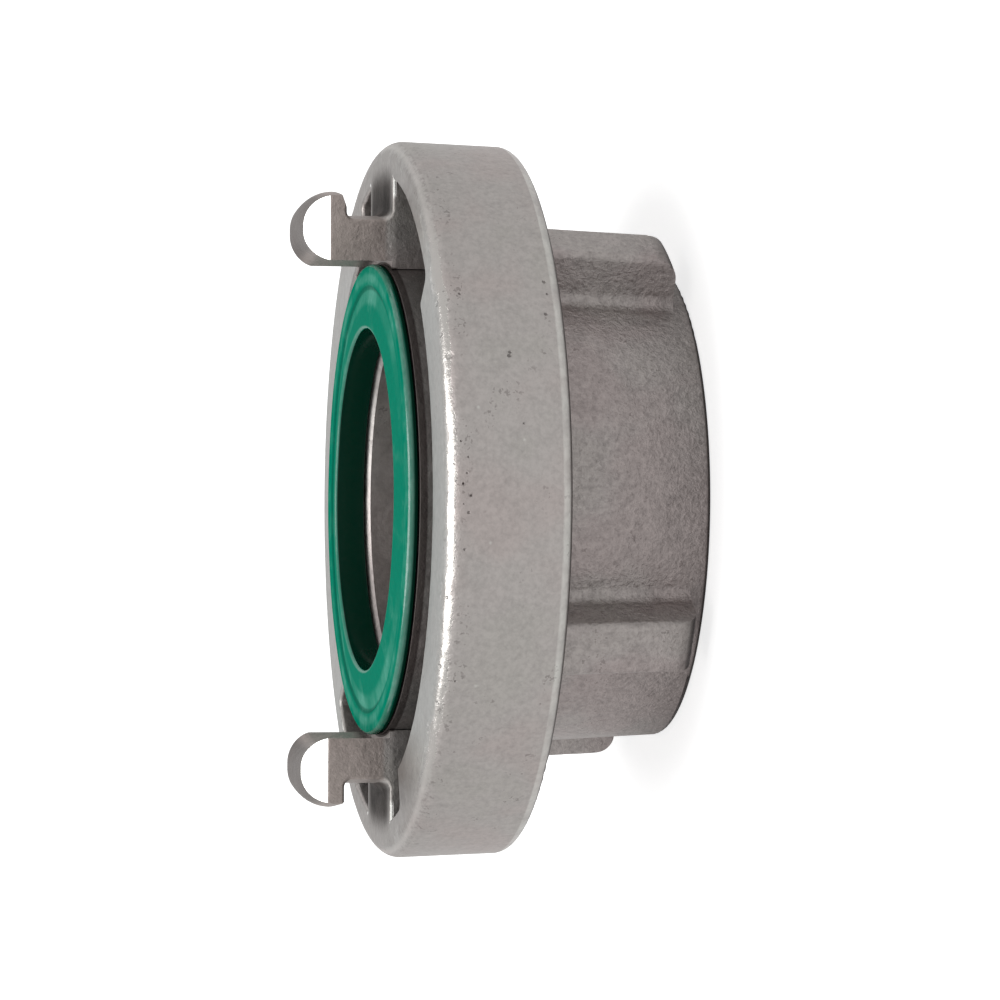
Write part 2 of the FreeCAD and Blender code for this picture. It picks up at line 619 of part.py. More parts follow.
def make_coupling(doc, sheet):
    """Build the metal half coupling: the round casting, its windows, ribs and lugs."""
    body = make_casting(doc, sheet)
    windows = add_windows(body, sheet)
    round_windows(body, sheet, windows)
    base = add_ribs(body, sheet)
    base = round_collar_root(body, sheet, base)
    round_rings(body, sheet, base)
    step = 360 / value(sheet, "sizes.lug_count")
    lugs = [make_lug(doc, sheet, f"lug_{number}", step * number)
            for number in range(round(value(sheet, "sizes.lug_count")))]
    join_lugs(body, lugs)
    return body


def main():
    """Build the coupling and write one STEP file for each piece."""
    doc = FreeCAD.newDocument("hose_coupling")
    sheet = make_sheet(doc)
    coupling = make_coupling(doc, sheet)
    coupling.Label = "coupling_body"
    ring = make_ring(doc, sheet)
    ring.Label = "sealing_ring"
    doc.recompute()
    check_and_export(doc, [coupling, ring])


main()
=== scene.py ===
"""Looks of a fixed hooked-lug hose coupling half: cast steel, rubber ring, thread, light and camera.

The part stands on its threaded end with its axis along +Z, and its two hooked lugs stand on +X
and -X. The photograph lies on its side: the camera looks along +Y from a little above the
coupling face and is rolled so that +Z points left and +X points up.
"""

import cmath
import logging
import math
from dataclasses import dataclass, field
from enum import Enum
from typing import Sequence

import bmesh
import bpy
from mathutils import Matrix, Vector

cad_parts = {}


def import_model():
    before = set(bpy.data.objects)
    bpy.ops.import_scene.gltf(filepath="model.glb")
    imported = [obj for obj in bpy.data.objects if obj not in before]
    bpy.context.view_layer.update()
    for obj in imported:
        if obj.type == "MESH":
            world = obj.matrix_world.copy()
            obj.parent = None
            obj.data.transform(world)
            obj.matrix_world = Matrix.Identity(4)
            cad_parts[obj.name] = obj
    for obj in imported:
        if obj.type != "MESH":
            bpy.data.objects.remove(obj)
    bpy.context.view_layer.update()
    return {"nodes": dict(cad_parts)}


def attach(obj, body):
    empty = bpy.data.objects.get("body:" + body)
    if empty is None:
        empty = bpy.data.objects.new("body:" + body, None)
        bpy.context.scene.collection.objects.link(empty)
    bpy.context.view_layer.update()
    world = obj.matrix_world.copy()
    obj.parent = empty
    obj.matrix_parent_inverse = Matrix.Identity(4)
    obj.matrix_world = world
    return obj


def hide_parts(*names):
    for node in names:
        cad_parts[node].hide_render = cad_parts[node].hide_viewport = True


LOG = logging.getLogger("hose_coupling")
MM = 0.001

Colour = tuple[float, float, float]


def colour_from_screen(red: int, green: int, blue: int) -> Colour:
    """Turn a screen colour of 0 to 255 into the linear colour that shaders take.

    Args:
        red: Red channel on screen.
        green: Green channel on screen.
        blue: Blue channel on screen.

    Returns:
        The linear colour.
    """
    def linear(channel: int) -> float:
        """Return one linear channel."""
        share = channel / 255
        return share / 12.92 if share <= 0.04045 else ((share + 0.055) / 1.055) ** 2.4

    return linear(red), linear(green), linear(blue)


class Blend(Enum):
    """Ways in which the Mix node joins two colours."""

    MIX = "MIX"
    MULTIPLY = "MULTIPLY"


class Term:
    """A number inside a shader: a plain float or the output of a node.

    Operators on terms add Math nodes; numbers alone are worked out in Python.
    """

    def __init__(self, shader: "Shader", source: "bpy.types.NodeSocket | float") -> None:
        """Hold a socket or a float together with the shader that owns it."""
        self.shader = shader
        self.source = source

    def _math(self, operation: str, other: "Term | float", swap: bool = False) -> "Term":
        """Join this term with another through one Math node.

        Args:
            operation: Name of the Math node's operation.
            other: The second operand.
            swap: True where the other operand comes first.

        Returns:
            The node's output.
        """
        second = other.source if isinstance(other, Term) else other
        operands = (second, self.source) if swap else (self.source, second)
        return self.shader.add("ShaderNodeMath", {"operation": operation}, dict(enumerate(operands)))

    def __add__(self, other: "Term | float") -> "Term":
        """Return self + other."""
        return self._math("ADD", other)

    def __radd__(self, other: float) -> "Term":
        """Return other + self."""
        return self._math("ADD", other, swap=True)

    def __sub__(self, other: "Term | float") -> "Term":
        """Return self - other."""
        return self._math("SUBTRACT", other)

    def __rsub__(self, other: float) -> "Term":
        """Return other - self."""
        return self._math("SUBTRACT", other, swap=True)

    def __mul__(self, other: "Term | float") -> "Term":
        """Return self * other."""
        return self._math("MULTIPLY", other)

    def __rmul__(self, other: float) -> "Term":
        """Return other * self."""
        return self._math("MULTIPLY", other, swap=True)

    def least(self, other: "Term | float") -> "Term":
        """Return the smaller of two terms."""
        return self._math("MINIMUM", other)

    def most(self, other: "Term | float") -> "Term":
        """Return the larger of two terms."""
        return self._math("MAXIMUM", other)

    def size(self) -> "Term":
        """Return the absolute value."""
        return self.shader.add("ShaderNodeMath", {"operation": "ABSOLUTE"}, {0: self.source})

    def rise(self, low: float, high: float) -> "Term":
        """Return a smooth step from 0 at low to 1 at high; low may be the larger one."""
        inputs = {"Value": self.source, "From Min": low, "From Max": high}
        return self.shader.add("ShaderNodeMapRange", {"interpolation_type": "SMOOTHSTEP"}, inputs)

    def band(self, middle: float, half_width: float, edge: float) -> "Term":
        """Return 1 within half_width of middle, falling to 0 over the width of edge."""
        return (self - middle).size().rise(half_width + edge, half_width)


class Shader:
    """One material's node tree around a Principled shader."""

    def __init__(self, name: str) -> None:
        """Make an empty material with an output and a Principled shader.

        Args:
            name: The material's name.
        """
        self.material = bpy.data.materials.new(name)
        self.material.use_nodes = True
        self.tree = self.material.node_tree
        self.tree.nodes.clear()
        self.output = self.tree.nodes.new("ShaderNodeOutputMaterial")
        self.surface = self.tree.nodes.new("ShaderNodeBsdfPrincipled")
        self.tree.links.new(self.surface.outputs["BSDF"], self.output.inputs["Surface"])
        geometry = self.tree.nodes.new("ShaderNodeNewGeometry")
        self.place = geometry.outputs["Position"]
        self.normal = geometry.outputs["Normal"]

    def add(self, kind: str, settings: dict, inputs: dict, output: "str | int" = 0) -> Term:
        """Add one node of any kind.

        Args:
            kind: The node's type.
            settings: Properties of the node, set before its sockets are filled.
            inputs: Values or links by socket name or number.
            output: The output socket to return.

        Returns:
            The chosen output as a term.
        """
        node = self.tree.nodes.new(kind)
        for name, setting in settings.items():
            setattr(node, name, setting)
        for key, value in inputs.items():
            self.feed(node.inputs[key], value)
        return Term(self, node.outputs[output])

    def feed(self, socket: "bpy.types.NodeSocket", value: object) -> None:
        """Link a term or a socket to an input, or set the input's own value.

        Args:
            socket: The input to fill.
            value: A term, a socket, a number, or a colour or vector.
        """
        if isinstance(value, Term):
            value = value.source
        if isinstance(value, bpy.types.NodeSocket):
            self.tree.links.new(value, socket)
        elif isinstance(value, tuple) and len(value) == 3 and len(socket.default_value) == 4:
            socket.default_value = (*value, 1.0)
        else:
            socket.default_value = value

    def set(self, **values: object) -> None:
        """Fill inputs of the Principled shader; underscores stand for spaces in their names."""
        for name, value in values.items():
            self.feed(self.surface.inputs[name.replace("_", " ")], value)

    def mix(self, share: "Term | float", first: object, second: object, way: Blend = Blend.MIX) -> Term:
        """Mix two colours.

        Args:
            share: How much of the second colour shows.
            first: The first colour.
            second: The second colour.
            way: How the two are joined.

        Returns:
            The mixed colour.
        """
        settings = {"data_type": "RGBA", "blend_type": way.value, "clamp_factor": True}
        node_inputs = {0: share, 6: first, 7: second}
        return self.add("ShaderNodeMix", settings, node_inputs, 2)

    def part(self, axis: str) -> Term:
        """Return one coordinate of the shaded point, in metres."""
        return self.add("ShaderNodeSeparateXYZ", {}, {"Vector": self.place}, axis)

    def facing(self, axis: str) -> Term:
        """Return one coordinate of the surface's normal."""
        return self.add("ShaderNodeSeparateXYZ", {}, {"Vector": self.normal}, axis)

    def reach(self) -> Term:
        """Return the shaded point's distance from the part's axis, in metres."""
        flat = self.add("ShaderNodeVectorMath", {"operation": "MULTIPLY"},
                        {0: self.place, 1: (1.0, 1.0, 0.0)}, "Vector")
        return self.add("ShaderNodeVectorMath", {"operation": "LENGTH"}, {0: flat}, "Value")

    def grey(self, level: Term) -> Term:
        """Return a grey colour of the given level."""
        return self.add("ShaderNodeCombineColor", {}, {0: level, 1: level, 2: level})

    def noise(self, per_metre: float, detail: float = 2.0, roughness: float = 0.5,
              stretch: Colour = (1.0, 1.0, 1.0), shift: float = 0.0) -> Term:
        """Return a noise of 0 to 1 fixed to the part.

        Args:
            per_metre: Features to a metre.
            detail: Octaves added to the first.
            roughness: Strength of the finer octaves.
            stretch: Factors on the three axes.
            shift: Offset, so that two noises differ.

        Returns:
            The noise value.
        """
        moved = self.add("ShaderNodeVectorMath", {"operation": "MULTIPLY_ADD"},
                         {0: self.place, 1: stretch, 2: (shift, shift, shift)}, "Vector")
        return self.add("ShaderNodeTexNoise", {},
                        {"Vector": moved, "Scale": per_metre, "Detail": detail, "Roughness": roughness}, 0)

    def bump(self, height: Term, depth: float, strength: float = 1.0,
             base: "Term | None" = None) -> Term:
        """Turn a height of 0 to 1 into a normal.

        Args:
            height: The height.
            depth: Height of the full range, in metres.
            strength: The Bump node's strength.
            base: A normal that is bumped further, or none for the surface's own.

        Returns:
            The bumped normal.
        """
        node_inputs = {"Height": height, "Distance": depth, "Strength": strength}
        if base is not None:
            node_inputs["Normal"] = base
        return self.add("ShaderNodeBump", {}, node_inputs, "Normal")


@dataclass(frozen=True)
class Mark:
    """A dent, pit or pale scuff on the collar, by an angle in degrees and sizes in millimetres."""

    angle: float
    height: float
    width: float
    sunk: float = 0.0

    def place(self, size: "CouplingSizes") -> tuple[float, float, float]:
        """Return the mark's middle in metres; the angle runs from -Y towards +X.

        Args:
            size: Sizes that give the collar's drafted surface.

        Returns:
            The middle's three coordinates.
        """
        turn = math.radians(self.angle)
        height = self.height * MM
        reach = size.collar_reach - (size.collar_front - height) * size.collar_slope - self.sunk * MM
        return reach * math.sin(turn), -reach * math.cos(turn), height


PITS = (
    Mark(32.8, 35.3, 0.5), Mark(35.6, 24.0, 0.6), Mark(33.3, 23.8, 0.4), Mark(29.6, 24.3, 0.55),
    Mark(22.3, 29.6, 0.6), Mark(22.9, 29.5, 0.5), Mark(6.4, 35.5, 0.36), Mark(4.0, 35.7, 0.32),
    Mark(-1.8, 37.0, 0.36), Mark(-3.5, 36.9, 0.45), Mark(-4.6, 36.9, 0.45), Mark(-5.9, 36.9, 0.4),
    Mark(-1.9, 35.5, 0.46), Mark(-28.4, 36.0, 0.4), Mark(11.6, 28.2, 0.36), Mark(0.6, 35.2, 0.42),
    Mark(2.4, 36.2, 0.4), Mark(-0.6, 36.1, 0.34), Mark(-7.4, 35.9, 0.42), Mark(8.8, 36.4, 0.36),
)
SCUFFS = (
    Mark(-6.4, 32.6, 0.6), Mark(9.1, 28.2, 0.5), Mark(14.0, 34.0, 0.7), Mark(-29.3, 33.2, 0.8),
)
DENTS = (
    Mark(32.0, 38.1, 0.9, 1.5), Mark(22.3, 37.3, 1.3, 0.4), Mark(26.2, 37.9, 0.7, 1.3),
    Mark(-26.5, 38.0, 0.7, 1.2), Mark(-33.0, 37.8, 0.65, 1.0), Mark(-15.0, 37.8, 0.5, 0.9),
)


@dataclass
class CastNoise:
    """The casting's noises, each from 0 to 1."""

    grain: Term
    fine: Term
    lumps: Term
    wave: Term
    tint: Term
    blotch: Term
    ragged: Term

    def fray(self) -> Term:
        """Return a ragged offset around 0 for the outlines of worn edges."""
        return (self.ragged - 0.5) * 0.35 + (self.blotch - 0.5) * 0.7


@dataclass
class CastZones:
    """Places on the casting, each 1 within and 0 outside."""

    socket: Term
    ends: Term
    face: Term
    bore: Term
    chamber: Term
    lug: Term
    nose: Term
    facet: Term
    foot: Term
    sill: Term
    hub_edge_shade: Term
    skirt: Term
    painted_shade_below: Term
    front_edge: Term
    rear_edge: Term
    tarnish: Term


@dataclass(frozen=True)
class CastSteel:
    """Blasted cast stainless steel with turned faces, worn edges, pits, dents and scuffs, with painted
    shade in hollows and on downward faces and painted highlights on the lugs' facets and window sills.

    The tones and shades are factors on the colour, the shares say how far one colour covers
    another, and the reliefs are heights against the grain's.
    """

    skin: Colour = colour_from_screen(174, 169, 166)
    rose: Colour = colour_from_screen(174, 166, 163)
    sage: Colour = colour_from_screen(172, 168, 164)
    socket: Colour = colour_from_screen(168, 158, 156)
    face: Colour = colour_from_screen(148, 150, 148)
    worn: Colour = colour_from_screen(222, 224, 218)
    rubbed: Colour = colour_from_screen(176, 173, 169)
    brown: Colour = colour_from_screen(158, 144, 138)
    # Polished steel lightened as a painted highlight, for the lugs' facets and the window sills
    polish_highlight_colour: Colour = colour_from_screen(232, 232, 228)
    # Used for pits and specks, and for painted shade on downward faces and the hub's edge
    dark: Colour = colour_from_screen(62, 54, 52)
    roughness: float = 0.5
    face_roughness: float = 0.42
    worn_roughness: float = 0.22
    foot_roughness: float = 0.36
    blotch_roughness: float = 0.12
    grain_per_metre: float = 1500.0
    grain_depth: float = 0.0001
    fine_per_metre: float = 4200.0
    lumps_per_metre: float = 620.0
    wave_per_metre: float = 330.0
    wave_depth: float = 0.00016
    tint_per_metre: float = 75.0
    blotch_per_metre: float = 210.0
    ragged_per_metre: float = 2600.0
    tone: float = 0.93
    socket_shade: float = 0.04
    grain_tone: float = 0.5
    socket_grain_tone: float = 0.26
    blotch_tone: float = 0.2
    socket_blotch_tone: float = 0.16
    lump_tone: float = 0.24
    socket_lump_tone: float = 0.2
    ends_shade: float = 0.22
    chamber_shade: float = 0.35
    foot_shade: float = 0.72
    nose_shade: float = 0.64
    face_share: float = 0.7
    brown_share: float = 0.6
    brown_ends_share: float = 0.35
    rubbed_share: float = 0.8
    dark_share: float = 0.86
    pit_share: float = 0.6
    speck_share: float = 0.4
    scuff_share: float = 0.3
    tarnish_share: float = 0.7
    pit_relief: float = 1.3
    dent_relief: float = 1.8
    mark_edge: float = 0.6
    scuff_edge: float = 0.9
    mark_fray: float = 0.8
    smoothed_share: float = 0.5

    def _noise(self, shader: Shader) -> CastNoise:
        """Add the casting's noises.

        Args:
            shader: The material's shader.

        Returns:
            The noises.
        """
        return CastNoise(
            grain=shader.noise(self.grain_per_metre, detail=3.0, roughness=0.65),
            fine=shader.noise(self.fine_per_metre, shift=0.13),
            lumps=shader.noise(self.lumps_per_metre, detail=3.0, roughness=0.7, shift=0.61),
            wave=shader.noise(self.wave_per_metre, shift=0.31),
            tint=shader.noise(self.tint_per_metre, shift=0.77),
            blotch=shader.noise(self.blotch_per_metre, detail=3.0, roughness=0.6, shift=0.52),
            ragged=shader.noise(self.ragged_per_metre, shift=0.9))

    def _zones(self, shader: Shader, size: "CouplingSizes", noise: CastNoise) -> CastZones:
        """Tell the casting's places apart by position and by the way the surface faces.

        Args:
            shader: The material's shader.
            size: Sizes that say where the turned faces and worn edges lie.
            noise: The casting's noises, which fray the worn edges.

        Returns:
            The places.
        """
        reach = shader.reach()
        height = shader.part("Z")
        along = shader.part("X").size()
        across = shader.part("Y").size()
        upward = shader.facing("Z")
        sideways = shader.facing("Y").size()
        front = size.collar_front
        fray = noise.fray()
        collar = height.rise(size.collar_rear - 0.4 * MM, size.collar_rear + 0.1 * MM)
        socket = 1 - collar
        ends = along.rise(size.ends_start, size.ends_full)
        rim = reach.rise(size.chamber_reach + 1.2 * MM, size.chamber_reach + 1.8 * MM) * collar
        near_front = height.rise(front - 0.6 * MM, front - 0.1 * MM)
        face = near_front * height.rise(front + 0.5 * MM, front + 0.05 * MM) * upward.rise(0.6, 0.9)
        face = face * reach.rise(size.face_start, size.face_start + 1.0 * MM)
        bore = reach.rise(size.thread_radius + 0.2 * MM, size.thread_radius - 0.1 * MM) * (1 - near_front)
        # chamber: the hollow between the hub and the collar, darkened as painted shade
        chamber = reach.rise(size.ring_outside - 0.3 * MM, size.ring_outside) * collar
        chamber = chamber * reach.rise(size.chamber_reach + 0.6 * MM, size.chamber_reach + 0.2 * MM)
        chamber = chamber * height.rise(front - 0.1 * MM, front - 0.8 * MM)
        lug = height.rise(front + 0.4 * MM, front + 1.2 * MM)
        lug = lug * reach.rise(size.ring_outside + 0.4 * MM, size.ring_outside + 0.7 * MM)
        # nose: the lugs' upward-facing noses, darkened as painted shade
        nose = lug * upward.rise(0.2, 0.7) * height.rise(size.hook_back, size.hook_back + 0.5 * MM)
        # facet: the lugs' polished nose facets, lightened further as a painted highlight
        facet = upward.band(0.6, 0.05, 0.05) * sideways.rise(0.7, 0.76)
        facet = facet * height.rise(size.hook_back + 0.3 * MM, size.hook_back + 0.7 * MM)
        # foot: the face beneath each hook; its darkening is a painted shadow of the hook
        foot = height.band(front + 0.6 * MM, 1.2 * MM, 0.3 * MM) * upward.rise(0.1, 0.3)
        foot = foot * along.rise(size.lug_back, size.lug_back + 0.6 * MM)
        foot = foot * across.rise(size.foot_across, size.foot_core)
        foot = foot * reach.rise(size.chamber_reach + 1.5 * MM, size.chamber_reach - 2.2 * MM)
        # sill: the window's edge beside each lug, lightened as a painted highlight
        sill = height.band(front - 0.15 * MM, 0.3 * MM, 0.1 * MM)
        sill = sill * across.band(size.sill_across, 0.25 * MM, 0.1 * MM)
        sill = sill * along.rise(size.sill_start, size.sill_start + 1.0 * MM)
        sill = sill * reach.rise(size.sill_reach, size.sill_reach - 0.5 * MM)
        # The hub's front edge under the ring's bead is darkened as painted shade
        hub_edge_shade = reach.band(size.ring_outside - 0.3 * MM, 0.6 * MM, 0.1 * MM)
        hub_edge_shade = hub_edge_shade * height.band(size.hub_front - 0.3 * MM, 0.6 * MM, 0.3 * MM)
        # Downward-facing faces get painted shade; on the socket it starts at shallower slopes, but not on
        # the ribs
        rib = socket * reach.rise(size.rib_start, size.rib_start + 0.7 * MM)
        painted_shade_below = (upward - socket * 0.35 + rib * 0.27).rise(-0.6, -0.9)
        tarnish = (upward + fray * 0.5).band(0.5, 0.08, 0.12) * noise.grain.rise(0.46, 0.56)
        return CastZones(
            socket=socket, ends=ends, face=face, bore=bore, chamber=chamber, lug=lug, nose=nose,
            facet=facet, foot=foot, sill=sill, hub_edge_shade=hub_edge_shade, painted_shade_below=painted_shade_below,
            skirt=height.band(front - 2.3 * MM, 0.6 * MM, 1.4 * MM) * rim,
            front_edge=(upward + fray).band(0.7, 0.16, 0.08) * rim * (1 - ends * 0.75),
            rear_edge=(upward + fray * 0.2).rise(-0.04, -0.16) * rim * (1 - painted_shade_below),
            tarnish=tarnish * rim * ends)

    def _spread(self, shader: Shader, size: "CouplingSizes", marks: Sequence[Mark], ragged: Term,
                soft: float) -> Term:
        """Return 1 within any of the marks, with a ragged edge.

        Args:
            shader: The material's shader.
            size: Sizes that give the collar's surface.
            marks: The marks.
            ragged: Noise that frays their outlines, from 0 to 1.
            soft: Width of the edge as a share of half a mark's width.

        Returns:
            The joint mask.
        """
        covered = None
        for mark in marks:
            distance = shader.add("ShaderNodeVectorMath", {"operation": "DISTANCE"},
                                  {0: shader.place, 1: mark.place(size)}, "Value")
            depth = shader.add("ShaderNodeMath", {"operation": "MULTIPLY_ADD"},
                               {0: distance, 1: -2 / (mark.width * MM), 2: 1.0})
            covered = depth if covered is None else covered.most(depth)
        return (covered + (ragged - 0.5) * self.mark_fray).rise(0.0, soft)

    def _shade(self, zones: CastZones, noise: CastNoise) -> Term:
        """Return the factor by which grain and painted shade darken the colour: painted shade in the
        chamber and on the lugs' noses, a painted shadow of each hook on the face beneath it, and a darker
        face towards the collar's ends.

        Args:
            zones: The casting's places.
            noise: The casting's noises.

        Returns:
            The factor, at most 1.
        """
        grain_tone = self.grain_tone + zones.socket * self.socket_grain_tone
        blotch_tone = self.blotch_tone + zones.socket * self.socket_blotch_tone
        lump_tone = self.lump_tone + zones.socket * self.socket_lump_tone
        shade = self.tone - zones.socket * self.socket_shade - zones.face * zones.ends * self.ends_shade
        shade = shade + (noise.grain - 0.5) * grain_tone + (noise.blotch - 0.5) * blotch_tone
        shade = shade + (noise.lumps - 0.5) * lump_tone
        # Painted shadow of the hook on the foot, blotchy
        painted_hook_shadow = zones.foot * (self.foot_shade + (noise.blotch - 0.5) * 0.6)
        shade = shade * (1 - zones.chamber * self.chamber_shade) * (1 - painted_hook_shadow)
        return (shade * (1 - zones.nose * self.nose_shade)).least(1.0)

    def _colour(self, shader: Shader, zones: CastZones, noise: CastNoise, pits: Term, scuffs: Term) -> Term:
        """Return the colour of the casting.

        Args:
            shader: The material's shader.
            zones: The casting's places.
            noise: The casting's noises.
            pits: Mask of the pits.
            scuffs: Mask of the pale scuffs.

        Returns:
            The colour.
        """
        blotch = noise.blotch
        warm = 0.4 + noise.tint.rise(0.42, 0.58) * 0.45
        browned = (zones.lug.most(zones.foot) * self.brown_share).most(
            zones.face * zones.ends * self.brown_ends_share)
        # Polished facets and window sills, lightened further as a painted highlight
        polish_and_painted_highlight = zones.facet.most(zones.sill * (0.6 + noise.ragged * 0.6)).least(1.0)
        specks = (blotch + zones.skirt * 0.13 + zones.socket * 0.05).rise(0.57, 0.68)
        specks = (specks * noise.grain.rise(0.55, 0.62)).most(zones.tarnish * self.tarnish_share)
        colour = shader.mix(noise.tint.rise(0.45, 0.65), self.skin, self.rose)
        colour = shader.mix(noise.tint.rise(0.48, 0.34), colour, self.sage)
        colour = shader.mix(zones.socket * warm, colour, self.socket)
        colour = shader.mix(zones.face * self.face_share, colour, self.face)
        colour = shader.mix(browned, colour, self.brown)
        colour = shader.mix(1.0, colour, shader.grey(self._shade(zones, noise)), Blend.MULTIPLY)
        colour = shader.mix(zones.rear_edge * (0.24 + (blotch - 0.5)), colour, self.worn)
        colour = shader.mix(zones.front_edge * self.rubbed_share, colour, self.rubbed)
        colour = shader.mix(polish_and_painted_highlight, colour, self.polish_highlight_colour)
        # Painted shade on downward faces and on the hub's front edge
        colour = shader.mix(zones.painted_shade_below.most(zones.hub_edge_shade) * self.dark_share, colour, self.dark)
        spoiled = (specks * self.speck_share + pits * self.pit_share).least(1.0)
        colour = shader.mix(spoiled, colour, self.dark)
        return shader.mix(scuffs * self.scuff_share, colour, self.worn)

    def material(self, size: "CouplingSizes") -> bpy.types.Material:
        """Build the material.

        Args:
            size: Sizes that say where the turned faces and worn edges lie.

        Returns:
            The finished material.
        """
        shader = Shader("cast_stainless")
        noise = self._noise(shader)
        zones = self._zones(shader, size, noise)
        pits = self._spread(shader, size, PITS, noise.ragged, self.mark_edge)
        scuffs = self._spread(shader, size, SCUFFS, noise.ragged, self.scuff_edge)
        dents = self._spread(shader, size, DENTS, noise.ragged, self.mark_edge)
        turned = zones.face.most(zones.bore)
        polished = zones.front_edge.most(zones.facet).most(zones.sill)
        smooth = turned.most(polished) * (1 - zones.foot) * self.smoothed_share
        coarse = 0.6 + zones.socket * 1.1 + zones.skirt * 0.5
        relief = noise.grain * coarse + noise.fine * 0.3 + noise.lumps * (0.5 + zones.socket)
        relief = relief * (1 - smooth) - pits * self.pit_relief - dents * self.dent_relief
        normal = shader.bump(relief, self.grain_depth)
        swell = shader.bump(noise.wave, self.wave_depth, base=normal)
        rough = self.roughness - turned * (self.roughness - self.face_roughness)
        rough = rough - polished.most(zones.rear_edge * 0.4) * (self.roughness - self.worn_roughness)
        rough = rough + (noise.blotch - 0.5) * self.blotch_roughness + zones.foot * self.foot_roughness
        shader.set(Base_Color=self._colour(shader, zones, noise, pits, scuffs))
        shader.set(Roughness=rough, Normal=swell, Metallic=1.0)
        return shader.material


@dataclass(frozen=True)
class GreenRubber:
    """Moulded green rubber: glossy shoulder, a top with dust and painted sheen, and an inner wall and
    underside painted dark as shade.
    """

    body: Colour = colour_from_screen(4, 130, 104)
    dust_and_sheen: Colour = colour_from_screen(104, 178, 158)
    # Dark green painted as shade on the inner wall and underside
    inside: Colour = colour_from_screen(0, 46, 32)
    roughness: float = 0.45
    dust_roughness: float = 0.3
    shine: float = 0.16
    shine_ior: float = 1.9
    grain_per_metre: float = 1700.0
    streaks_per_metre: float = 900.0
    patches_per_metre: float = 150.0
    grain_depth: float = 0.000016
    grain_strength: float = 0.6
    tone: float = 0.9
    grain_tone: float = 0.3
    valley_shade: float = 0.3
    inside_share: float = 0.96
    cone_dust: float = 0.35
    bead_dust: float = 0.3
    lip_gloss: float = 0.6
    inner_gloss: float = 0.4
    cone_gloss: float = 0.03

    def material(self, size: "CouplingSizes") -> bpy.types.Material:
        """Build the material.

        Args:
            size: Sizes that say where the ring's top and inside lie.

        Returns:
            The finished material.
        """
        shader = Shader("green_rubber")
        reach = shader.reach()
        height = shader.part("Z")
        upward = shader.facing("Z")
        grain = shader.noise(self.grain_per_metre, detail=3.0, roughness=0.6)
        streak = shader.noise(self.streaks_per_metre, stretch=(1.0, 1.0, 4.0), shift=0.2)
        patches = shader.noise(self.patches_per_metre, detail=3.0, shift=0.4)
        inner = reach.rise(size.ring_inside + 0.6 * MM, size.ring_inside + 0.4 * MM)
        inner = upward.rise(0.35, 0.1) * inner
        painted_shade_below = height.rise(size.ring_floor + 0.35 * MM, size.ring_floor + 0.05 * MM)
        bead = reach.rise(size.bead_inside - 0.1 * MM, size.bead_inside + 0.3 * MM) * (1 - painted_shade_below)
        lip = reach.rise(size.ring_inside + 0.5 * MM, size.ring_inside + 0.2 * MM) * (1 - inner)
        valley = reach.band(size.bead_inside - 0.45 * MM, 0.15 * MM, 0.3 * MM)
        cone = (1 - bead) * (1 - inner)
        # The top's pale patches are dust and painted sheen
        dust_and_sheen = cone * patches.rise(0.5, 0.72) * self.cone_dust
        dust_and_sheen = dust_and_sheen + bead * patches.rise(0.42, 0.62) * self.bead_dust
        dust_and_sheen = dust_and_sheen * (0.4 + streak.rise(0.35, 0.7) * 0.6)
        # A painted sheen in pale bands beside the bead, towards the ring's ends
        ends = shader.part("X").size().rise(size.sheen_start, size.sheen_full)
        painted_sheen = reach.band(size.bead_inside - 1.6 * MM, 0.5 * MM, 1.0 * MM)
        painted_sheen = painted_sheen + reach.band(size.bead_inside + 0.9 * MM, 0.2 * MM, 0.7 * MM) * 0.8
        dust_and_sheen = dust_and_sheen + painted_sheen * ends * (1 - inner) * (0.12 + patches.rise(0.35, 0.65) * 0.34)
        colour = shader.mix(dust_and_sheen.least(1.0), self.body, self.dust_and_sheen)
        shade = self.tone + (grain - 0.5) * self.grain_tone - valley * self.valley_shade
        colour = shader.mix(1.0, colour, shader.grey(shade), Blend.MULTIPLY)
        # The inner wall and underside are painted dark as shade
        colour = shader.mix(inner.most(painted_shade_below) * self.inside_share, colour, self.inside)
        normal = shader.bump(grain + streak * 0.5, self.grain_depth, self.grain_strength)
        gloss = (bead * upward.rise(0.94, 0.8)).most(lip * self.lip_gloss)
        gloss = gloss + inner * self.inner_gloss + cone * self.cone_gloss
        gloss = gloss * (0.75 + (streak - 0.5) * 0.7)
        shader.set(Base_Color=colour, Roughness=self.roughness + dust_and_sheen * self.dust_roughness)
        shader.set(Normal=normal, Coat_Weight=gloss.least(1.0))
        shader.set(Specular_IOR_Level=0.0, Coat_Roughness=self.shine, Coat_IOR=self.shine_ior)
        return shader.material


@dataclass
class CouplingSizes:
    """Sizes in metres, as the part's source has them, and the places of what is painted on it."""

    collar_rear: float = 21.75 * MM
    collar_front: float = 38.25 * MM
    collar_reach: float = 48.45 * MM
    collar_slope: float = math.tan(math.radians(1.9))
    thread_radius: float = 29.8 * MM
    thread_depth: float = 18.5 * MM
    hub_front: float = 38.65 * MM
    ring_inside: float = 23.1 * MM
    ring_outside: float = 31.8 * MM
    ring_floor: float = 39.15 * MM
    bead_top: float = 40.2 * MM
    bead_inside: float = 29.1 * MM
    lip_top: float = 40.65 * MM
    chamber_reach: float = 44.2 * MM
    hook_back: float = 44.35 * MM
    ledge: float = 36.45 * MM
    groove_floor: float = 34.85 * MM
    groove_top: float = 37.05 * MM
    groove_reach: float = 30.1 * MM
    mouth_reach: float = 28.8 * MM
    foot_inside: float = 25.6 * MM
    face_start: float = 35.8 * MM
    rib_start: float = 33.2 * MM
    ends_start: float = 30.0 * MM
    ends_full: float = 40.0 * MM
    lug_back: float = 37.6 * MM
    foot_across: float = 9.2 * MM
    foot_core: float = 5.5 * MM
    sill_across: float = 8.65 * MM
    sill_start: float = 40.0 * MM
    sill_reach: float = 44.3 * MM
    sheen_start: float = 8.0 * MM
    sheen_full: float = 26.0 * MM


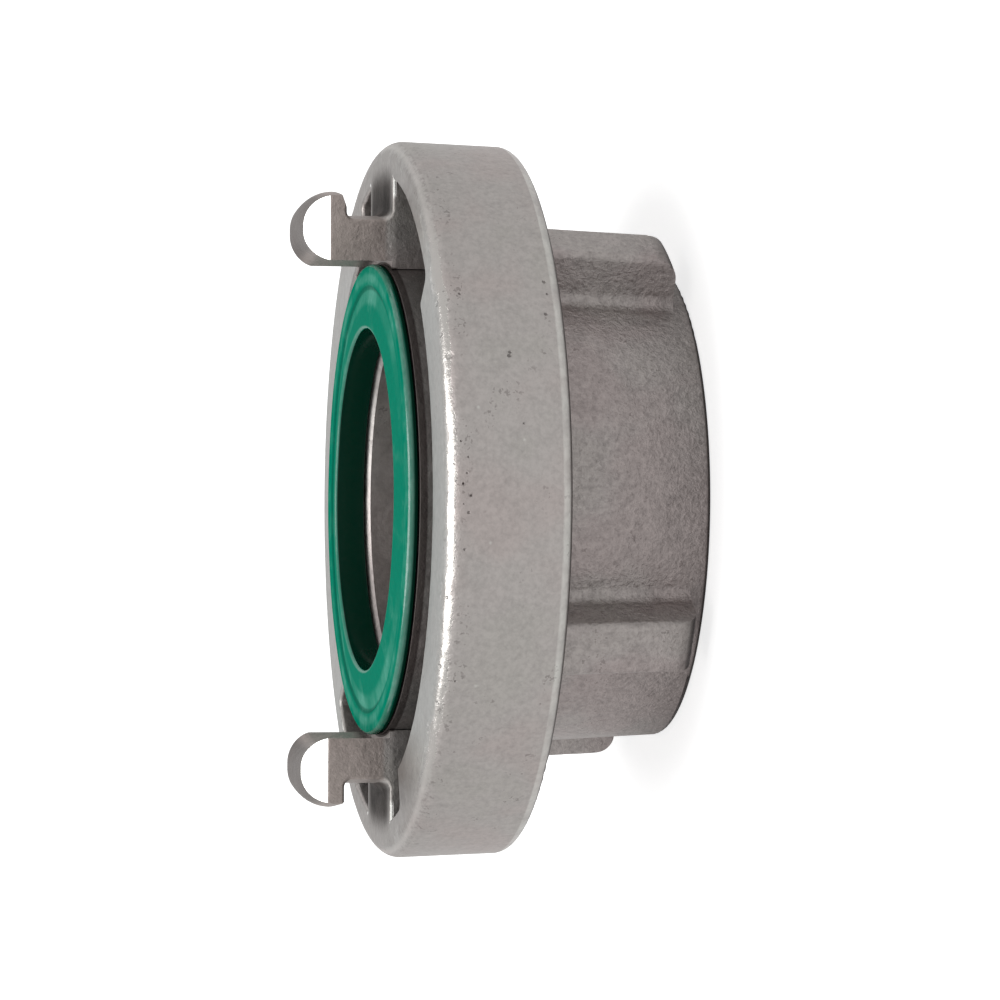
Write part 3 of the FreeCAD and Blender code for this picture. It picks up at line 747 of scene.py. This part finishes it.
@dataclass
class RubberRing:
    """The lip ring, turned from a section with true rounds and a moulded, slightly uneven surface."""

    size: CouplingSizes
    shoulder: float = 0.7 * MM
    lip_round: float = 0.42 * MM
    edge_round: float = 0.14 * MM
    valley_width: float = 0.5 * MM
    valley_depth: float = 0.3 * MM
    skirt_drop: float = 0.3 * MM
    corner_room: float = 0.49
    turns: int = 420
    unevenness: float = 0.02 * MM
    sway: tuple[tuple[int, float, float], ...] = ((3, 0.6, 1.0), (7, 2.0, 0.6), (13, 0.0, 0.4))
    body: str = "root"
    slot: str = "green_rubber"
    node: str = "sealing_ring"

    def _rounded(self, corners: Sequence[tuple[float, float, float]],
                 steps: int = 7) -> list[tuple[float, float]]:
        """Round the corners of a closed outline.

        Args:
            corners: Corners as radius, height and rounding.
            steps: Points to a rounding, less one.

        Returns:
            The outline's points.
        """
        points = []
        count = len(corners)
        for index, (across, up, rounding) in enumerate(corners):
            here = complex(across, up)
            before = complex(*corners[index - 1][:2]) - here
            after = complex(*corners[(index + 1) % count][:2]) - here
            if not rounding:
                points.append((across, up))
                continue
            opening = cmath.phase(after / before)
            half = abs(opening) / 2
            room = min(abs(before), abs(after)) * self.corner_room
            cut = min(rounding / math.tan(half), room)
            first = here + before / abs(before) * cut
            bisector = before / abs(before) * cmath.exp(1j * opening / 2)
            centre = here + bisector * cut / math.cos(half)
            sweep = -math.copysign(math.pi - abs(opening), opening)
            for step in range(steps + 1):
                spot = centre + (first - centre) * cmath.exp(1j * sweep * step / steps)
                points.append((spot.real, spot.imag))
        return points

    def _outline(self) -> list[tuple[float, float]]:
        """Lay out the ring's section.

        Returns:
            The section's points as radius and height in metres.
        """
        size = self.size
        foot_top = size.groove_top - 0.1 * MM
        valley_reach = size.bead_inside - self.valley_width
        corners = [
            (size.ring_inside, size.ledge, 0.1 * MM),
            (size.foot_inside, size.ledge, 0.0),
            (size.foot_inside, size.groove_floor, self.edge_round),
            (size.groove_reach, size.groove_floor, self.edge_round),
            (size.groove_reach, foot_top, self.edge_round),
            (size.mouth_reach, foot_top, 0.0),
            (size.mouth_reach, size.ring_floor, 0.0),
            (size.ring_outside, size.ring_floor - self.skirt_drop, self.edge_round),
            (size.ring_outside, size.bead_top, self.shoulder),
            (size.bead_inside, size.bead_top, 0.35 * MM),
            (valley_reach, size.bead_top - self.valley_depth, 0.25 * MM),
            (size.ring_inside, size.lip_top, self.lip_round),
        ]
        return self._rounded(corners)

    def build(self, material: bpy.types.Material) -> bpy.types.Object:
        """Build the ring in place of its plain solid.

        Args:
            material: The finish.

        Returns:
            The ring's object.
        """
        section = self._outline()
        mesh = bmesh.new()
        rings = []
        for turn in range(self.turns):
            angle = 2 * math.pi * turn / self.turns
            sway = sum(share * math.sin(angle * waves + phase) for waves, phase, share in self.sway)
            rings.append([])
            for across, up in section:
                share = max(up - self.size.ring_floor, 0) / (self.size.lip_top - self.size.ring_floor)
                height = up + sway * self.unevenness * share
                spot = (across * math.cos(angle), across * math.sin(angle), height)
                rings[-1].append(mesh.verts.new(spot))
        for ring, following in zip(rings, rings[1:] + rings[:1]):
            for side in range(len(section)):
                after = (side + 1) % len(section)
                mesh.faces.new((ring[side], following[side], following[after], ring[after]))
        bmesh.ops.recalc_face_normals(mesh, faces=mesh.faces)
        piece = finished_piece("rubber_ring", mesh, material, self.body)
        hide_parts(self.node)
        return piece


def finished_piece(name: str, mesh: bmesh.types.BMesh, material: bpy.types.Material,
                   body: str) -> bpy.types.Object:
    """Turn a bmesh into a smooth object that rides on a body.

    Args:
        name: The object's name.
        mesh: Its geometry, which is freed.
        material: Its finish.
        body: The body that carries it.

    Returns:
        The object.
    """
    for face in mesh.faces:
        face.smooth = True
    data = bpy.data.meshes.new(name)
    mesh.to_mesh(data)
    mesh.free()
    data.materials.append(material)
    piece = bpy.data.objects.new(name, data)
    bpy.context.scene.collection.objects.link(piece)
    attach(piece, body)
    LOG.info("%s: %d faces", name, len(data.polygons))
    return piece


@dataclass
class CouplingBody:
    """The cast half coupling with its thread."""

    size: CouplingSizes
    pitch: float = 2.309 * MM
    ridge_height: float = 1.45 * MM
    crest_share: float = 0.16
    crest_round: float = 0.12 * MM
    foot_share: float = 0.47
    foot_lap: float = 0.12 * MM
    least_strength: float = 0.03
    steps: int = 128
    first_turn: float = 0.9 * MM
    runout: float = 0.8
    body: str = "root"
    slot: str = "cast_stainless"

    def dress(self, node: bpy.types.Object, material: bpy.types.Material) -> None:
        """Give a carried-over solid its finish.

        Args:
            node: The solid's object.
            material: The finish.
        """
        node.data.materials.clear()
        node.data.materials.append(material)
        LOG.info("dressed %s with %s", node.name, material.name)

    def _section(self, strength: float) -> list[tuple[float, float]]:
        """Return the thread ridge's section as radius and height, for a strength of 0 to 1.

        Args:
            strength: Share of the full ridge height.

        Returns:
            The corners of the section, from its lower foot over the crest to its upper foot.
        """
        root = self.size.thread_radius + self.foot_lap
        crest = self.size.thread_radius - self.ridge_height * strength
        foot = self.pitch * self.foot_share
        top = self.pitch * self.crest_share / 2
        soft = self.crest_round * strength
        return [(root, -foot), (crest + soft, -top - soft * 0.6), (crest, -top * 0.5),
                (crest, top * 0.5), (crest + soft, top + soft * 0.6), (root, foot)]

    def build_thread(self, material: bpy.types.Material) -> bpy.types.Object:
        """Build the ridge of the inside thread as one closed helix.

        Args:
            material: The finish.

        Returns:
            The thread's object.
        """
        turns = (self.size.thread_depth - 2 * self.pitch - self.first_turn) / self.pitch
        count = round(turns * self.steps)
        mesh = bmesh.new()
        rings = []
        for step in range(count + 1):
            angle = 2 * math.pi * step / self.steps
            height = self.first_turn + self.pitch * (step / self.steps + 0.5)
            fade = min(step, count - step) / (self.steps * self.runout / 2)
            strength = self.least_strength + (1 - self.least_strength) * min(fade, 1.0)
            rings.append([
                mesh.verts.new((radius * math.cos(angle), radius * math.sin(angle), height + rise))
                for radius, rise in self._section(strength)])
        sides = len(rings[0])
        for ring, following in zip(rings, rings[1:]):
            for side in range(sides):
                after = (side + 1) % sides
                mesh.faces.new((ring[side], ring[after], following[after], following[side]))
        mesh.faces.new(list(reversed(rings[0])))
        mesh.faces.new(rings[-1])
        bmesh.ops.recalc_face_normals(mesh, faces=mesh.faces)
        return finished_piece("thread_ridge", mesh, material, self.body)


@dataclass
class Studio:
    """Floor, light tent and the camera at the photograph's viewing angle."""

    aim: Vector = field(default_factory=lambda: Vector((0, 0, 21.65 * MM)))
    distance: float = 0.640
    tilt: float = 11.5
    roll: float = 0.27
    focal_pixels: float = 4700.0
    frame_pixels: float = 1000.0
    sensor: float = 36.0
    near_clip: float = 0.05
    floor_size: float = 12.0
    backdrop: float = 1.0
    ambient: float = 0.4
    floor_white: float = 0.8
    floor_shown: float = 0.74
    floor_mirrored: float = 0.2
    overhead_power: float = 3.1
    overhead_size: float = 0.6
    overhead_place: Vector = field(default_factory=lambda: Vector((-0.07, -0.12, 0.62)))

    def build(self) -> None:
        """Set up everything around the part."""
        scene = bpy.context.scene
        scene.view_settings.view_transform = "Standard"
        self._tent(scene)
        self._floor(scene)
        self._lamps(scene)
        self._camera(scene)

    def _tent(self, scene: bpy.types.Scene) -> None:
        """Show white to the camera and to metal, and light matt surfaces softly from all sides.

        Args:
            scene: The scene that gets it.
        """
        world = bpy.data.worlds.new("tent")
        scene.world = world
        world.use_nodes = True
        tree = world.node_tree
        tree.nodes.clear()
        output = tree.nodes.new("ShaderNodeOutputWorld")
        background = tree.nodes.new("ShaderNodeBackground")
        rays = tree.nodes.new("ShaderNodeLightPath")
        background.inputs["Color"].default_value = (1.0, 1.0, 1.0, 1.0)
        level = None
        for kind in ("Is Camera Ray", "Is Glossy Ray", "Is Transmission Ray"):
            node = tree.nodes.new("ShaderNodeMath")
            node.operation = "MULTIPLY_ADD"
            tree.links.new(rays.outputs[kind], node.inputs[0])
            node.inputs[1].default_value = self.backdrop - self.ambient
            if level is None:
                node.inputs[2].default_value = self.ambient
            else:
                tree.links.new(level, node.inputs[2])
            level = node.outputs[0]
        tree.links.new(level, background.inputs["Strength"])
        tree.links.new(background.outputs[0], output.inputs["Surface"])

    def _floor(self, scene: bpy.types.Scene) -> None:
        """Lay the white floor, which shows white to the camera apart from the part's shadow.

        Args:
            scene: The scene that gets it.
        """
        mesh = bpy.data.meshes.new("floor")
        half = self.floor_size / 2
        mesh.from_pydata([(-half, -half, 0), (half, -half, 0), (half, half, 0), (-half, half, 0)], [],
                         [(0, 1, 2, 3)])
        floor = bpy.data.objects.new("floor", mesh)
        scene.collection.objects.link(floor)
        shader = Shader("floor_white")
        rays = shader.tree.nodes.new("ShaderNodeLightPath")
        mirrored = Term(shader, rays.outputs["Is Glossy Ray"]).most(
            Term(shader, rays.outputs["Is Transmission Ray"]))
        seen = Term(shader, rays.outputs["Is Camera Ray"])
        glow = seen * self.floor_shown + mirrored * self.floor_mirrored
        shader.set(Base_Color=(self.floor_white,) * 3, Roughness=1.0, Specular_IOR_Level=0.0)
        shader.set(Emission_Color=shader.grey(glow), Emission_Strength=1.0)
        floor.data.materials.append(shader.material)

    def _lamps(self, scene: bpy.types.Scene) -> None:
        """Hang the softbox over the coupling face.

        Args:
            scene: The scene that gets it.
        """
        lamp = bpy.data.lights.new("overhead", "AREA")
        lamp.shape = "SQUARE"
        lamp.size = self.overhead_size
        lamp.energy = self.overhead_power
        holder = bpy.data.objects.new("overhead", lamp)
        holder.location = self.overhead_place
        scene.collection.objects.link(holder)

    def _camera(self, scene: bpy.types.Scene) -> None:
        """Place the camera with +Z of the part to the left and +X up.

        Args:
            scene: The scene that gets it.
        """
        tilt = math.radians(self.tilt)
        back = Vector((0.0, -math.cos(tilt), math.sin(tilt)))
        up = Matrix.Rotation(math.radians(self.roll), 3, back) @ Vector((1.0, 0.0, 0.0))
        right = up.cross(back)
        turn = Matrix((right, up, back)).transposed().to_4x4()
        camera_data = bpy.data.cameras.new("camera")
        camera_data.sensor_width = self.sensor
        camera_data.lens = self.focal_pixels / self.frame_pixels * self.sensor
        camera_data.clip_start = self.near_clip
        camera = bpy.data.objects.new("camera", camera_data)
        camera.matrix_world = Matrix.Translation(self.aim + back * self.distance) @ turn
        scene.collection.objects.link(camera)
        scene.camera = camera


def main() -> None:
    """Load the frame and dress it."""
    logging.basicConfig(level=logging.INFO, format="%(name)s: %(message)s")
    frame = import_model()
    size = CouplingSizes()
    steel = CastSteel().material(size)
    rubber = GreenRubber().material(size)
    coupling = CouplingBody(size)
    coupling.dress(frame["nodes"]["coupling_body"], steel)
    RubberRing(size).build(rubber)
    coupling.build_thread(steel)
    Studio().build()


if __name__ == "__main__":
    main()
